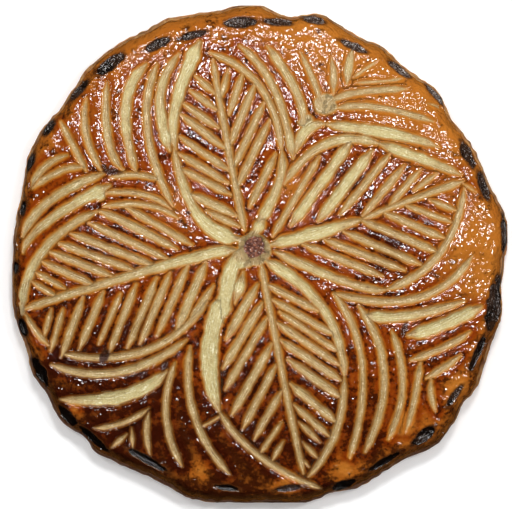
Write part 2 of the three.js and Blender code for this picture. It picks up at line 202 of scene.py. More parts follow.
# The leaf that points to -X.
WEST_LEAF = [
    score(-122, -28, -13, 2.5, 2, 0.4, (3.6, 4.2, 6.2)),
    score(-124, -29, -84, 22.5, 10, -0.05, (4.7, 4.7, 3.6)),
    score(-84, 22.5, -43, 3, 1, -0.45, (3.1, 4.2, 3.1)),
    score(-121.5, -31, -109.5, -47, -1, 0, (2.6,)),
    score(-102, -51.5, -27.5, -24, -13, 0.05, (3.1, 3.6, 2.6)),
    *veins(
        [-118.5, -14, -105.5, -21.5, 2.6], [-116.5, -9, -101, -17.5, 2.6], [-113, -3.5, -85, -16],
        [-109, 1.5, -76.5, -11], [-104, 6, -65, -8], [-98, 11, -54.5, -5.5], [-88.5, 16.5, -48, -2],
        [-69, 24.5, -35, 5], [-108, -28, -112, -42.5, 2.6], [-102, -28, -108.5, -50, 2.6],
        [-91.5, -22, -103, -53], [-81, -19, -93.5, -49], [-72, -20, -83.5, -46.5, 2.6],
        [-64, -15.5, -78, -50.5], [-53.5, -12, -68.5, -48], [-46.5, -9.5, -62, -46],
        [-37, -5, -53, -41.5], [-28, -4, -43, -39, 4.4], [-24, -16, -36.5, -34.5],
    ),
]

# Arcs that fill the four corners between the leaves: first those beside the upright leaf, then those beside
# the level one.
NORTH_WEST_ARCS = [
    score(-42, 104, -46.5, 54, -7.5, -0.1, (3.6, 4.7, 5.7)),
    score(-53.5, 98.5, -45, 25, -8.5, -0.1, (3.6,)),
    score(-59, 98.5, -64, 42.5, -8.5, -0.2, (5.2, 5.2, 3.1)),
    score(-79.5, 89, -71, 44, -4.5, 0.25, (2.6, 4.2, 3.6)),
    score(-90, 81, -82, 43.5, -4, -0.05, (2.6, 3.6, 3.1)),
    score(-103.5, 69, -90, 43.5, 0, 0, (3.1,)),
    score(-100, 51.5, -120.5, 34, -3, -0.1, (3.1,)),
    score(-91, 45, -118, 34.5, -3, -0.15, (3.1,)),
    score(-81, 42, -123, 9.5, -6, 0.2, (4.2,)),
    score(-78, 35.5, -123, 1, -5, 0.35, (6.2, 4.7, 3.1)),
    score(-77, 40, -52, 38.5, 2, 0, (2.6,)),
    score(-80.5, 32, -46, 23.5, 4, 0.15, (2.6,)),
    score(-80.5, 25, -42.5, 19, 4, 0.1, (2.6,)),
]

NORTH_EAST_ARCS = [
    score(-10.5, 108, 17, 50, 6.5, -0.15, (3.6, 3.6, 4.2)),
    score(4, 108, 22.5, 67.5, 3.5, 0.2, (4.2,)),
    score(21, 105, 32, 78, 0.5, 0, (3.1,)),
    score(37, 102.5, 38, 83, 0.5, 0, (3.6,)),
    score(48, 106.5, 45, 88.5, -0.5, 0, (4.7,)),
    score(61.5, 101, 48, 91.5, 0, 0, (1.8,)),
    score(74, 91.5, 49.5, 89, 0.5, -0.2, (1.8,)),
    score(76.5, 86, 35.5, 78, -3, 0.3, (3.6,)),
    score(39, 75.5, 90, 69, 3.5, -0.2, (3.6,)),
    score(18.5, 53, 34, 67.5, 4.5, 0.1, (4.2, 5.2, 4.2)),
    score(34, 67.5, 92.5, 55.5, 2, 0.3, (4.2, 6.2, 3.6)),
    score(87, 78.5, 95.5, 75, 0.5, 0, (1.3,)),
]

SOUTH_EAST_ARCS = [
    score(38, -20, 46.5, -105, 11, -0.1, (3.1,)),
    score(51, -26.5, 54.5, -102, 11.5, -0.05, (3.6,)),
    score(68, -39.5, 66.5, -95.5, 6.5, 0, (3.1,)),
    score(83, -56, 75.5, -91.5, 1, 0.2, (3.1,)),
    score(88.5, -64.5, 91, -81, -1, 0, (2.6,)),
    score(39, -20, 110, -0.5, -13.5, 0.1, (3.6,)),
    score(54, -31, 105.5, -24, -3.5, -0.15, (5.7, 4.7, 3.1)),
    score(76.5, -41.5, 114.5, -27, -1.5, -0.15, (6.2,)),
    score(78, -54.5, 108.5, -40, -1.5, 0.2, (3.1,)),
    score(86, -64, 104, -52, -0.5, 0.1, (3.1,)),
]

SOUTH_WEST_ARCS = [
    score(-36, -47.5, -16, -113.5, -8.5, 0, (3.1, 3.6, 3.6)),
    score(-44, -56, -40.5, -109.5, -6.5, 0, (3.1, 3.6, 3.1)),
    score(-57.5, -81.5, -57, -103.5, -1.5, 0, (3.1,)),
    score(-66.5, -90, -66, -100.5, 0, 0, (2.6,)),
    score(-108, -57, -38, -44, -10, -0.05, (3.6, 4.2, 3.1)),
    score(-104, -75, -48.5, -60.5, -6.5, 0.15, (3.6, 7.3, 5.7)),
    score(-86, -90, -57.5, -79.5, -2.5, 0, (2.6,)),
    score(-77, -100, -69, -93, 0, 0, (3.1,)),
]

SCORES = [
    *NORTH_LEAF, *EAST_LEAF, *SOUTH_LEAF, *WEST_LEAF,
    *NORTH_WEST_ARCS, *NORTH_EAST_ARCS, *SOUTH_EAST_ARCS, *SOUTH_WEST_ARCS,
]

# ---- marks on the crust ----
# The rim is pressed down in pockets that have burnt: [direction in degrees, inset, length, width].
POCKET_DEPTH = 2.2
POCKETS = [
    [4, 2.2, 26, 5], [17, 3.8, 15, 4.6], [26, 5.2, 15, 5.2], [42, 2.6, 14, 3], [53, 3.4, 13, 3.4],
    [66, 6.5, 15, 3.8], [77, 4.2, 13, 3.8], [86, 5.6, 15, 4.2], [95, 9.8, 16, 5.7], [107, 11.5, 16, 3.8],
    [116, 10.3, 15, 4.7], [128, 7.1, 19, 6.2], [138, 3.6, 14, 3.6], [149, 3.2, 9, 4], [158, 2.8, 11, 3.4],
    [169, 3.2, 8, 2.8], [183, 3, 7, 2.8], [197, 3, 10, 4.2], [208, 4.8, 17, 5.7], [220, 4.8, 14, 5.2],
    [228, 4.2, 19, 3.8], [241, 8.7, 22, 3.8], [262, 8.8, 12, 3.4], [277, 9.1, 15, 3.4], [290, 4, 13, 4.2],
    [301, 5.7, 18, 3.4], [312, 8.4, 15, 6.2], [324, 6.9, 13, 3.4], [336, 6.1, 20, 3.8], [348, 5.2, 30, 8],
]

# Small burnt blisters: [x, y, length, width, the way they lie in degrees].
BLISTERS = [
    [-76.5, 43, 7.5, 2.8, -5], [-80.5, -52.5, 7.4, 4.4, 62], [-49.5, -57.5, 5, 2.8, 65],
    [-37, 21.5, 1.8, 1.6, 0], [74.5, -38.5, 6.5, 2.6, 75], [-80.5, 45.5, 2.4, 1.8, 0],
]
BLISTER_DEPTH = 0.5

# The steam hole in the middle: a shallow bowl with lumps of filling baked in it, and a moat on its left,
# which is written like a blister.
STEAM_HOLE = {"x": -3.1, "y": 3.6, "radius": 6.2, "depth": 1.6}
MOAT = [-9.5, 3.6, 14, 4.6, 97]
LUMP_HEIGHT = 1.0

# Places where cuts run together and the dough lies open: [x, y, radius].
CLEARINGS = [[-3.5, 3, 8], [-9, -2, 6], [33.8, 78.5, 6], [24, 68.5, 3.5], [-83, 31, 3], [-124.5, -28.5, 3]]

# Darker (above 0) and paler (below 0) places in the glaze: [x, y, radius, amount].
# The broad dark places to the south and south-west and the broad pale ones to the east and north are partly
# browning and partly painted shade and light.
TONES = [
    [-70, -100, 55, 0.75], [0, -118, 50, 0.6], [-105, -60, 36, 0.5], [60, -105, 40, 0.45],
    [112, 0, 30, -0.7], [95, 75, 38, -0.65], [60, 100, 32, -0.6], [20, 115, 30, -0.5],
    [-95, 75, 34, -0.3], [-50, 108, 30, -0.35], [-31, -112, 5, -1.5], [-96, -80, 4, -1.5],
    [74, -88, 8, -1.4], [44, -111, 7, -1.4], [13, -118, 6, -1.4], [103, -69, 6, -1.1], [-117, -46, 6, -0.9],
    [18, 36, 12, -0.6], [-46, 24, 16, -0.5],
    [-31, 68, 13, 0.4], [-4, 66, 13, 0.3], [44, 42, 15, 0.6], [70, 4, 19, 0.7], [-6, -62, 14, 0.35],
    [30, -62, 14, 0.35], [-80, 4, 18, 0.4], [-62, -34, 12, 0.3], [60, -32, 9, 0.35],
]
BROWNED_AND_SHADED_SIDE = 250  # direction in which the rim is darkest, partly browned and partly painted shade


# ---- measuring ----
def smooth(value, start, end):
    """0 up to `start` and 1 from `end` on, with a smooth rise between."""
    share = np.clip((value - start) / (end - start), 0, 1)
    return share * share * (3 - 2 * share)


def lumps(x, y, size, seed):
    """Smooth random heights from -1 to 1 whose lumps are about `size` across."""
    cells = 64  # the heights repeat after this many lumps
    heights = np.random.default_rng(seed).uniform(-1, 1, (cells, cells))
    column = np.floor(x / size).astype(int)
    row = np.floor(y / size).astype(int)
    across = smooth(x / size - column, 0, 1)
    up = smooth(y / size - row, 0, 1)

    def along_row(number):
        here = heights[number % cells, column % cells]
        following = heights[number % cells, (column + 1) % cells]
        return here * (1 - across) + following * across

    return along_row(row) * (1 - up) + along_row(row + 1) * up


def outline(direction):
    """Distance from the middle to the outline, in a direction given in degrees."""
    reach = np.full_like(direction, RADIUS + LOBE_BASE)
    for waves, size, peak in SWELLS:
        reach += size * np.cos(np.radians(waves * (direction - peak)))
    for peak, size, half_width in LOBES:
        away = np.abs((direction - peak + 540) % 360 - 180) / half_width
        reach += size * (0.5 + 0.5 * np.cos(np.pi * np.minimum(away, 1)))
    turn = direction / 360 * FRILL_TURN
    coarse = COARSE_FRILL * lumps(turn, 0 * turn, 8, 61)
    fine = FINE_FRILL * lumps(turn, 0 * turn, 2.5, 62)
    return reach + coarse + fine


def direction_of(x, y):
    return np.degrees(np.arctan2(y, x)) % 360


def dome(x, y):
    """Height of the unscored top, which rounds over into the side at the rim."""
    reach = outline(direction_of(x, y))
    distance = np.hypot(x, y)
    share = np.minimum(distance / reach, 1)
    inset = reach - distance
    fall = np.clip((RIM_ROUNDING - inset) / (RIM_ROUNDING - RIM_INSET), 0, 1.3) ** 1.6
    return SHOULDER + (CROWN - SHOULDER) * (1 - share**DOME_POWER) - RIM_FALL * fall


def walk(cut):
    """Points along a score, with the score's length so far and its half width at each."""
    start, control, end, (first, middle, last) = cut
    rough = np.hypot(*(control - start)) + np.hypot(*(end - control))
    t = np.linspace(0, 1, max(4, round(rough / STATION) + 1))[:, None]
    points = (1 - t) ** 2 * start + 2 * t * (1 - t) * control + t**2 * end
    lengths = np.concatenate([[0], np.cumsum(np.hypot(*np.diff(points, axis=0).T))])
    share = lengths / lengths[-1]
    width = np.interp(share, [0, 0.5, 1], [first, middle, last])
    return points, lengths, width / 2 + OPENING


def measure(x, y):
    """What the scores are like at each place.

    `edge` is the distance to the nearest score's edge, below 0 inside the score. `width` is that score's
    width, `along` and `across` are the place's coordinates in it, and `height` is the surface's height over
    the dome, which is 0 or less.
    """
    edge = np.full_like(x, FAR)
    width = np.full_like(x, VEIN_WIDTH)
    along = np.zeros_like(x)
    across = np.zeros_like(x)
    height = np.zeros_like(x)
    ragged = 1 + 0.13 * lumps(x, y, 5, 11) + 0.07 * lumps(x, y, 2, 12)
    for number, cut in enumerate(SCORES):
        points, lengths, half = walk(cut)
        low, high = points.min(0) - MARGIN, points.max(0) + MARGIN
        near = np.flatnonzero((x > low[0]) & (x < high[0]) & (y > low[1]) & (y < high[1]))
        if not len(near):
            continue
        px, py = x[near], y[near]
        best = np.full(len(near), np.inf)
        here_along = np.zeros(len(near))
        here_side = np.zeros(len(near))
        here_half = np.full(len(near), 1.0)
        for i in range(len(points) - 1):
            step = points[i + 1] - points[i]
            length = np.hypot(*step)
            rx, ry = px - points[i][0], py - points[i][1]
            share = np.clip((rx * step[0] + ry * step[1]) / length**2, 0, 1)
            distance = np.hypot(rx - share * step[0], ry - share * step[1])
            closer = distance < best
            best[closer] = distance[closer]
            here_along[closer] = (lengths[i] + share * length)[closer]
            here_side[closer] = np.sign(rx * -step[1] + ry * step[0])[closer]
            here_half[closer] = (half[i] + share * (half[i + 1] - half[i]))[closer]
        to_tip = np.minimum(here_along, lengths[-1] - here_along)
        narrowing = np.minimum(4 * here_half, TIP_LENGTH)
        tip = TIP_SHARE + (1 - TIP_SHARE) * smooth(to_tip, 0, narrowing) ** 0.8
        here_half = here_half * tip * ragged[near]
        here_edge = best - here_half
        full = np.minimum(MOST_DEPTH, LEAST_DEPTH + DEPTH_PER_WIDTH * 2 * here_half)
        flatness = 2 + 1.6 * smooth(here_half, 2.2, 4)
        shape = 1 - np.minimum(best / here_half, 1) ** flatness
        shoulder = RIDGE_SHOULDER * tip
        inside = -shoulder - np.maximum(full - shoulder, 0.3) * shape
        outside = -shoulder * np.exp(-np.maximum(here_edge, 0) / RIDGE_ROUNDING)
        here_height = np.where(here_edge < 0, inside, outside)
        height[near] = np.minimum(height[near], here_height)
        nearer = here_edge < edge[near]
        chosen = near[nearer]
        edge[chosen] = here_edge[nearer]
        width[chosen] = 2 * here_half[nearer]
        along[chosen] = here_along[nearer] + SCORE_APART * number
        across[chosen] = (here_side * best)[nearer]
    for middle_x, middle_y, radius in CLEARINGS:
        away = np.hypot(x - middle_x, y - middle_y) - radius * (1 + 0.25 * lumps(x, y, 4, 13))
        height = np.minimum(height, -CLEARING_DEPTH * smooth(-away, -0.8, 0.8))
        edge = np.minimum(edge, away)
    return {"edge": edge, "width": width, "along": along, "across": across, "height": height}


def dent(x, y, middle_x, middle_y, length, width, turn):
    """Distance to the edge of an oval dent, below 0 inside it, and a depth from 0 at its edge to 1."""
    cosine, sine = math.cos(math.radians(turn)), math.sin(math.radians(turn))
    u = ((x - middle_x) * cosine + (y - middle_y) * sine) / (length / 2)
    v = (-(x - middle_x) * sine + (y - middle_y) * cosine) / (width / 2)
    reach = np.hypot(u, v) + 0.16 * lumps(x, y, 3, 21) + 0.08 * lumps(x, y, 1.3, 22)
    return (reach - 1) * width / 2, np.clip(1 - reach**2, 0, 1)


def burns(x, y):
    """Distance to the edge of the nearest burnt dent, below 0 inside it, and how deep the dents are."""
    nearest = np.full_like(x, FAR)
    depth = np.zeros_like(x)
    for direction, inset, length, width in POCKETS:
        reach = float(outline(np.array([direction], float))[0]) - inset
        middle_x = reach * math.cos(math.radians(direction))
        middle_y = reach * math.sin(math.radians(direction))
        distance, inside = dent(x, y, middle_x, middle_y, length, width, direction + 90)
        nearest = np.minimum(nearest, distance)
        depth = np.maximum(depth, POCKET_DEPTH * np.sqrt(inside))
    for middle_x, middle_y, length, width, turn in BLISTERS:
        distance, inside = dent(x, y, middle_x, middle_y, length, width, turn)
        nearest = np.minimum(nearest, distance)
        depth = np.maximum(depth, BLISTER_DEPTH * inside)
    return nearest, depth


def steam(x, y):
    """Distance to the edge of the steam hole, below 0 inside it, and the height that the hole adds."""
    away = np.hypot(x - STEAM_HOLE["x"], y - STEAM_HOLE["y"])
    away = away + 1.3 * lumps(x, y, 4, 31) + 0.5 * lumps(x, y, 1.5, 34)
    edge = away - STEAM_HOLE["radius"]
    bowl = -STEAM_HOLE["depth"] * smooth(-edge, -1, 1.6)
    lumpy = 0.6 + 0.7 * lumps(x, y, 1.9, 32) + 0.4 * lumps(x, y, 1.1, 33)
    filling = LUMP_HEIGHT * smooth(-edge, 0.5, 2.5) * lumpy
    _, moat = dent(x, y, *MOAT)
    return edge, np.minimum(bowl, -MOAT_DEPTH * moat) + filling


def tone(x, y):
    """How dark the glaze is, partly from browning and partly from painted shade: 0 is usual, 1 is near black
    and -1 is golden.
    """
    total = np.zeros_like(x)
    for middle_x, middle_y, radius, amount in TONES:
        total += amount * np.exp(-(((x - middle_x) ** 2 + (y - middle_y) ** 2) / radius**2))
    direction = direction_of(x, y)
    inset = outline(direction) - np.hypot(x, y)
    # the rim darkens most on one side, partly browning and partly painted shade
    browned_and_shaded_side = 0.35 + 0.75 * np.cos(np.radians(direction - BROWNED_AND_SHADED_SIDE))
    return total + smooth(-inset, -9, -1) * browned_and_shaded_side


# ---- the cake's mesh ----
def square_to_disc(u, v):
    """Spreads a square grid over a disc, with the square's edge on the disc's edge."""
    wide = np.abs(u) >= np.abs(v)
    major = np.where(wide, u, v)
    minor = np.where(wide, v, u)
    turn = np.pi / 4 * np.divide(minor, major, out=np.zeros_like(u), where=major != 0)
    x = np.where(wide, major * np.cos(turn), major * np.sin(turn))
    y = np.where(wide, major * np.sin(turn), major * np.cos(turn))
    return x, y


def bulge(level):
    """How far inside the outline the side would lie at a height without its leaves."""
    above = np.maximum(0, level - BELLY_HEIGHT) / (RIM_HEIGHT - BELLY_HEIGHT)
    below = np.maximum(0, BELLY_HEIGHT - level) / BELLY_HEIGHT
    return RIM_TUCK * above**1.7 + BASE_TUCK * below**2.2


def side_profile():
    """The folds of the side from the rim to the base: [inset, height, looseness, how far it's drawn back].

    Each leaf has a crease and, below it, an edge. The topmost has no crease and the next a shallow one.
    """
    rows = []
    for layer in range(LAYERS):
        for part, recess in enumerate([CREASE * min(layer / 2, 1), 0]):
            level = RIM_HEIGHT * (1 - (layer + 0.35 + 0.5 * part) / LAYERS)
            rows.append([bulge(level), level, 1, recess])
    rows.append([BASE_INSET - 0.4, 0.35, 0.3, 0])
    rows.append([BASE_INSET, 0, 0, 0])
    return rows


def blank():
    """A grid as wide as the cake, with its edge drawn down in steps for the side and closed underneath."""
    bpy.ops.object.select_all(action="DESELECT")
    bpy.ops.mesh.primitive_grid_add(x_subdivisions=GRID_CELLS, y_subdivisions=GRID_CELLS, size=2)
    cake = bpy.context.object
    bpy.ops.object.mode_set(mode="EDIT")
    bpy.ops.mesh.select_mode(type="EDGE")
    bpy.ops.mesh.select_all(action="SELECT")
    bpy.ops.mesh.region_to_loop()
    drop = {"value": (0, 0, -1)}
    for _ in side_profile():
        bpy.ops.mesh.extrude_edges_move(TRANSFORM_OT_translate=drop)
    bpy.ops.mesh.extrude_edges_move(TRANSFORM_OT_translate={"value": (0, 0, 0)})
    bpy.ops.mesh.merge(type="CENTER")
    bpy.ops.mesh.select_all(action="SELECT")
    bpy.ops.mesh.normals_make_consistent(inside=False)
    bpy.ops.object.mode_set(mode="OBJECT")
    return cake


def read_points(cake):
    points = np.empty(len(cake.data.vertices) * 3)
    cake.data.vertices.foreach_get("co", points)
    return points.reshape(-1, 3)


def write_points(cake, points):
    cake.data.vertices.foreach_set("co", points.ravel())
    cake.data.update()


def raise_top(x, y):
    """Height of the finished top: the dome with its scores, dents, steam hole and puffed crust."""
    scores = measure(x, y)
    _, dents = burns(x, y)
    _, hole = steam(x, y)
    inset = outline(direction_of(x, y)) - np.hypot(x, y)
    on_ridge = smooth(scores["edge"], 0, 2)
    puffing = 0.28 * lumps(x, y, 6, 41) * on_ridge + 0.12 * lumps(x, y, 2.2, 42) * on_ridge
    blisters = 0.5 * smooth(lumps(x, y, 5, 43), 0.35, 0.95) * smooth(scores["edge"], 1.5, 4)
    crumb = 0.16 * lumps(x, y, 1.4, 44) * (1 - on_ridge)
    swell = 0.7 * lumps(x, y, 32, 45) - 0.7
    gather = smooth(inset, 3, 16)
    near_hole = smooth(np.hypot(x - STEAM_HOLE["x"], y - STEAM_HOLE["y"]), 4, 9)
    relief = scores["height"] * (0.5 + 0.5 * near_hole) + puffing + blisters + crumb + swell * gather
    return dome(x, y) + relief - dents + hole


def fold_side(direction, inset, level, loose, recess, row):
    """Inset and height of a fold of the side, moved so that no leaf runs straight or stays equally open."""
    turn = direction / 360 * FRILL_TURN
    creep = 0.5 * lumps(turn, row * 4.3, 10, 51) + 0.45 * lumps(turn, row * 1.8, 2.5, 52)
    rise = 0.9 * lumps(turn, row * 1.1, 20, 53) + 0.55 * lumps(turn, row * 1.2, 5, 54)
    open_by = recess * np.maximum(0.6 + 1.1 * lumps(turn, row * 6.1, 13, 55), 0)
    return np.maximum(inset + open_by + loose * (creep + 0.25), 0), level + loose * rise


def shape_cake(cake):
    """Gives every point of the blank its place on the cake."""
    u, v, depth = read_points(cake).T
    rows = np.array([[RIM_INSET, RIM_HEIGHT, 0, 0], *side_profile()])
    x, y = square_to_disc(u, v)
    direction = direction_of(x, y)
    cosine, sine = np.cos(np.radians(direction)), np.sin(np.radians(direction))
    reach = outline(direction)
    row = np.rint(-depth).astype(int)
    on_top = row == 0
    share = np.hypot(x, y)
    radius = share * (reach - RIM_INSET)
    level = np.zeros_like(x)
    level[on_top] = raise_top((radius * cosine)[on_top], (radius * sine)[on_top])
    side = ~on_top & (share > 0.5)
    inset, height = fold_side(direction[side], *rows[row[side]].T, row[side])
    radius[side] = reach[side] - inset
    level[side] = np.maximum(height, 0)
    write_points(cake, np.column_stack([radius * cosine, radius * sine, level]))


def thin_out(cake):
    """Takes triangles away where the surface is flattest."""
    triangles = sum(len(face.vertices) - 2 for face in cake.data.polygons)
    thinner = cake.modifiers.new("thinner", "DECIMATE")
    thinner.ratio = MOST_TRIANGLES / triangles
    bpy.ops.object.modifier_apply(modifier=thinner.name)


def mark(cake, name, values):
    """Keeps a number for every point of the mesh, for its material to read."""
    cake.data.attributes.new(name, "FLOAT", "POINT").data.foreach_set("value", values)


def mark_cake(cake):
    """Stores what the material has to know of each place."""
    x, y, z = read_points(cake).T
    inset = outline(direction_of(x, y)) - np.hypot(x, y)
    scores = measure(x, y)
    on_side = smooth(RIM_HEIGHT + 0.5 - z, -1, 1)
    mark(cake, "edge", scores["edge"] + FAR * on_side)
    mark(cake, "width", scores["width"])
    mark(cake, "along", scores["along"])
    mark(cake, "across", scores["across"])
    mark(cake, "burn", burns(x, y)[0] + FAR * smooth(9 - z, 0, 1))
    mark(cake, "steam", steam(x, y)[0] + FAR * on_side)
    mark(cake, "tone", tone(x, y))
    mark(cake, "inset", inset)
    mark(cake, "side", smooth(RIM_HEIGHT - 2 - z, -1.5, 1.5))
    mark(cake, "crease", (inset - bulge(z)) * on_side)
    mark(cake, "level", z)


def make_cake():
    cake = blank()
    cake.name = "galette_crust"
    cake.data.name = "galette_crust"
    shape_cake(cake)
    thin_out(cake)
    mark_cake(cake)
    write_points(cake, np.clip(read_points(cake) * MM, *cad_box))
    bpy.ops.object.shade_smooth()
    return cake


# ---- materials ----
def linear(channel):
    """One channel of a screen's colour, from 0 to 255, as the linear number that a shader takes."""
    if channel <= 10:
        return channel / 255 / 12.92
    return ((channel / 255 + 0.055) / 1.055) ** 2.4


def paint(red, green, blue):
    """An opaque colour, given as on a screen."""
    return linear(red), linear(green), linear(blue), 1


class Value:
    """A number that changes over the surface. Arithmetic on it adds Math nodes."""

    def __init__(self, finish, socket):
        self.finish = finish
        self.socket = socket

    def math(self, operation, *terms):
        return self.finish.node("ShaderNodeMath", {"operation": operation}, terms)

    def __add__(self, other):
        return self.math("ADD", self, other)

    def __sub__(self, other):
        return self.math("SUBTRACT", self, other)

    def __rsub__(self, other):
        return self.math("SUBTRACT", other, self)

    def __mul__(self, other):
        return self.math("MULTIPLY", self, other)

    __radd__ = __add__
    __rmul__ = __mul__


class Finish:
    """One material, with its Principled shader and the nodes that feed it."""

    def __init__(self, name, **constants):
        self.material = bpy.data.materials.new(name)
        self.material.use_nodes = True
        self.tree = self.material.node_tree
        self.shader = self.tree.nodes["Principled BSDF"]
        for socket, value in constants.items():
            self.shader.inputs[socket.replace("_", " ")].default_value = value

    def node(self, kind, settings, inputs, output=0):
        """Adds a node. `inputs` are numbers or Values, in its sockets' order or under numbers or names."""
        node = self.tree.nodes.new(kind)
        for setting, value in settings.items():
            if setting == "stops":
                while len(node.color_ramp.elements) < len(value):
                    node.color_ramp.elements.new(1)
                for element, (place, colour) in zip(node.color_ramp.elements, value):
                    element.position = place
                    element.color = colour
            else:
                setattr(node, setting, value)
        named = inputs.items() if isinstance(inputs, dict) else enumerate(inputs)
        for socket, value in named:
            if isinstance(value, Value):
                self.tree.links.new(value.socket, node.inputs[socket])
            else:
                node.inputs[socket].default_value = value
        return Value(self, node.outputs[output])

    def mark(self, name):
        return self.node("ShaderNodeAttribute", {"attribute_name": name}, {}, "Fac")

    def place(self, size, height=None):
        """The place on the piece, in units of `size` millimetres, or of `height` millimetres upwards."""
        coordinates = self.node("ShaderNodeTexCoord", {}, {}, "Object")
        units = (1 / (MM * size), 1 / (MM * size), 1 / (MM * (height or size)))
        return self.node("ShaderNodeVectorMath", {"operation": "MULTIPLY"}, [coordinates, units], "Vector")

    def noise(self, where, detail=2.0, roughness=0.5, distortion=0.0):
        """Soft noise about 0, from about -1 to 1."""
        inputs = {"Vector": where, "Scale": 1.0}
        inputs |= {"Detail": detail, "Roughness": roughness, "Distortion": distortion}
        return (self.node("ShaderNodeTexNoise", {}, inputs, "Fac") - 0.5) * 3.0

    def rise(self, value, start, end):
        """0 up to `start` and 1 from `end` on, with a smooth rise between."""
        settings = {"interpolation_type": "SMOOTHSTEP"}
        return self.node("ShaderNodeMapRange", settings, {"Value": value, 1: start, 2: end, 3: 0.0, 4: 1.0})

    def blend(self, first, second, share):
        """Mixes two colours: the first where `share` is 0 and the second where it is 1."""
        settings = {"data_type": "RGBA", "clamp_factor": True}
        return self.node("ShaderNodeMix", settings, {0: share, 6: first, 7: second}, 2)

    def feed(self, socket, value):
        self.tree.links.new(value.socket, self.shader.inputs[socket])


class Pastry(Finish):
    """Glazed puff pastry, with the marks of the mesh and the noises that its colours and its bumps share."""

    def __init__(self):
        super().__init__("glazed puff pastry", IOR=1.5, Specular_IOR_Level=1.0)
        self.edge = self.mark("edge")
        self.inset = self.mark("inset")
        # the tone: browning of the glaze together with painted shade towards the south-west
        self.browning_and_shade = self.mark("tone")
        self.hole = self.mark("steam")
        self.on_side = self.mark("side")
        self.level = self.mark("level")

        self.coarse = self.noise(self.place(7.0), 3.0)
        self.medium = self.noise(self.place(2.2), 3.0, 0.6)
        self.fine = self.noise(self.place(0.9), 2.0, 0.6)
        self.specks = self.noise(self.place(1.0), 0.0)
        self.leaves = self.noise(self.place(6.0, 0.9), 3.0, 0.65, 1.2)  # thin layers of the side
        self.fibres = self.noise(self.place_in_score(6.0, 0.6, 0.0), 2.0, 0.6)
        cells = {"Vector": self.place(1.5), "Scale": 1.0}
        self.grains = self.node("ShaderNodeTexVoronoi", {"feature": "F1"}, cells)

        self.ragged_edge = self.edge + self.medium * 0.16 + self.fine * 0.1
        self.burnt_edge = self.mark("burn") + self.medium * 0.3 + self.fine * 0.15
        self.open_crust = self.rise(self.edge, 1.6, 4.0)
        self.in_score = 1 - self.rise(self.ragged_edge, -0.45, 0.0)
        self.in_hole = 1 - self.rise(self.hole + self.medium * 0.4, -0.9, 0.0)

    def place_in_score(self, length, width, noise_height):
        """The place in a score, in units of `length` along and `width` across, at a height in a noise."""
        return self.node("ShaderNodeCombineXYZ", {}, {
            "X": self.mark("along") * (1 / length),
            "Y": self.mark("across") * (1 / width),
            "Z": noise_height,
        })


def floor_colour(pastry):
    """Cream dough in the scores, paler in the wide ones, with streaks along them and an amber edge."""
    open_dough = pastry.rise(pastry.mark("width") + pastry.medium * 0.4, 3.5, 6.2)

    def dough(in_narrow, in_wide):
        return pastry.blend(paint(*in_narrow), paint(*in_wide), open_dough)

    colour = dough((186, 157, 104), (205, 189, 131))
    dusky = pastry.rise(pastry.coarse + pastry.fibres * 0.4, 0.0, 1.0)
    colour = pastry.blend(colour, dough((160, 128, 70), (192, 176, 118)), dusky * 0.7)
    toasted = pastry.rise(pastry.fibres + pastry.specks * 0.25, 0.1, 0.8)
    colour = pastry.blend(colour, dough((122, 76, 28), (164, 128, 60)), toasted * 0.85)
    pale = pastry.rise(0 - pastry.specks * 0.35 - pastry.fibres, 0.1, 0.8)
    colour = pastry.blend(colour, dough((250, 234, 196), (252, 246, 208)), pale * 0.95)
    lip = pastry.rise(pastry.ragged_edge, -0.85, -0.3) * (pastry.coarse * 0.15 + 0.85)
    return pastry.blend(colour, paint(192, 146, 74), lip)


def glaze_colour(pastry):
    """Baked egg wash: golden beside the scores, red-brown on the ridges and darkest where it has browned and
    where shade is painted.
    """
    coarse, medium, browning_and_shade = pastry.coarse, pastry.medium, pastry.browning_and_shade
    deepness = pastry.edge + coarse * 0.3 + medium * 0.3
    colour = pastry.node("ShaderNodeValToRGB", {"stops": [
        (0.0, paint(188, 134, 62)),
        (0.08, paint(178, 110, 38)),
        (0.17, paint(158, 78, 14)),
        (0.28, paint(132, 50, 7)),
        (0.6, paint(144, 64, 11)),
        (1.0, paint(170, 94, 28)),
    ]}, {"Fac": deepness * (1 / 6.0)})
    amber = pastry.rise(0 - coarse * 0.7 - medium * 0.5, 0.1, 1.0) * (pastry.open_crust * 0.5 + 0.2)
    colour = pastry.blend(colour, paint(184, 106, 34), amber)
    golden = pastry.rise(0 - browning_and_shade + coarse * 0.22, 0.1, 0.75)
    colour = pastry.blend(colour, paint(192, 118, 42), golden * 0.75)
    # near black where the glaze has browned most, partly painted shade
    charred_and_shaded = pastry.rise(browning_and_shade + coarse * 0.2, 0.1, 1.0)
    colour = pastry.blend(colour, paint(58, 22, 10), charred_and_shaded * 0.75)
    on_ridge = pastry.rise(pastry.edge, 0.4, 1.2)
    maroon = pastry.rise(medium * 0.8 + coarse * 0.9 + browning_and_shade * 0.6, -0.15, 0.6) * on_ridge
    colour = pastry.blend(colour, paint(46, 11, 4), maroon * 0.85)
    near_rim = 1 - pastry.rise(pastry.inset, 2.0, 7.0)
    # near black along the rim, partly burning and partly painted shade
    rim_char_and_shade = pastry.rise(browning_and_shade + coarse * 0.35, 0.7, 1.3) * near_rim
    colour = pastry.blend(colour, paint(20, 9, 6), rim_char_and_shade * 0.9)
    # darker brown towards the outline
    rim_darkening = (1 - pastry.rise(pastry.inset + medium + coarse * 1.5, 1.0, 6.0)) * 0.65
    return pastry.blend(colour, paint(128, 78, 30), rim_darkening)


